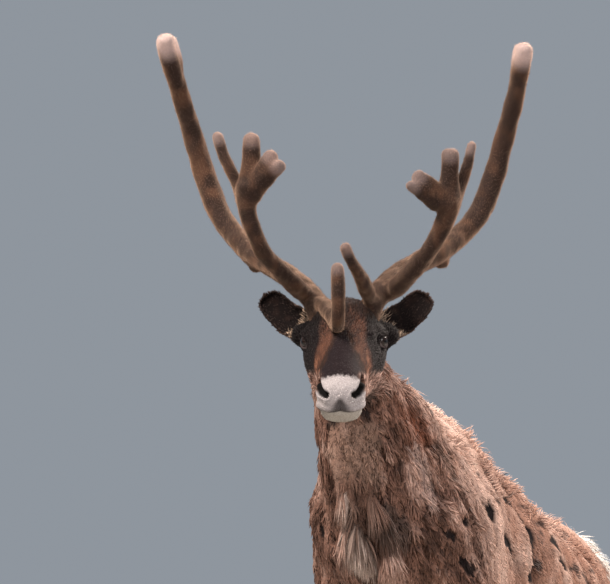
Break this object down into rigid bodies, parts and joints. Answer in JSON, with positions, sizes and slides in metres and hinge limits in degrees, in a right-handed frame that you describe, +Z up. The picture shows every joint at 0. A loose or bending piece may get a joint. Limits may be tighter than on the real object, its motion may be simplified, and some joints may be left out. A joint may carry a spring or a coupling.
{
  "type": "life-size model of a reindeer bull in summer velvet",
  "caption": "Standing reindeer bull with velvet antlers, head turned towards the viewer, as a still life-size museum model that rests on its hooves.",
  "frame": {"origin": "on the floor under the middle of the model's box", "axes": "+Z up, the trunk faces -Y, the animal's left is +X"},
  "size_m": [0.7328, 1.7364, 1.9866],
  "materials": {
    "face": "short dark brown hair",
    "neck_coat": "shaggy hair in moult",
    "coat": "dense hair in moult, pinkish brown with dark shed patches",
    "white_hair": "white hair",
    "leg_coat": "short brown hair",
    "horn": "black hoof horn",
    "eye": "wet dark eye",
    "velvet": "short velvet hair, paler at the growing tips"
  },
  "bodies": {
    "root": {"head": "face", "neck": "neck_coat", "trunk": "coat", "tail": "white_hair", "leg_fore_right_upper": "leg_coat", "leg_fore_right_lower": "leg_coat", "hoof_fore_right_outer": "horn", "dewclaw_fore_right_outer": "horn", "hoof_fore_right_inner": "horn", "dewclaw_fore_right_inner": "horn", "leg_hind_right_upper": "leg_coat", "leg_hind_right_lower": "leg_coat", "hoof_hind_right_outer": "horn", "dewclaw_hind_right_outer": "horn", "hoof_hind_right_inner": "horn", "dewclaw_hind_right_inner": "horn", "ear_right": "face", "eye_right": "eye", "antler_right_beam_lower": "velvet", "antler_right_beam_upper": "velvet", "antler_right_bez": "velvet", "antler_right_bez_outer_tine": "velvet", "antler_right_brow_tine": "velvet", "leg_fore_left_upper": "leg_coat", "leg_fore_left_lower": "leg_coat", "hoof_fore_left_outer": "horn", "dewclaw_fore_left_outer": "horn", "hoof_fore_left_inner": "horn", "dewclaw_fore_left_inner": "horn", "leg_hind_left_upper": "leg_coat", "leg_hind_left_lower": "leg_coat", "hoof_hind_left_outer": "horn", "dewclaw_hind_left_outer": "horn", "hoof_hind_left_inner": "horn", "dewclaw_hind_left_inner": "horn", "ear_left": "face", "eye_left": "eye", "antler_left_beam_lower": "velvet", "antler_left_beam_upper": "velvet", "antler_left_bez": "velvet", "antler_left_bez_outer_tine": "velvet", "antler_left_brow_tine": "velvet"}
  },
  "joints": []
}
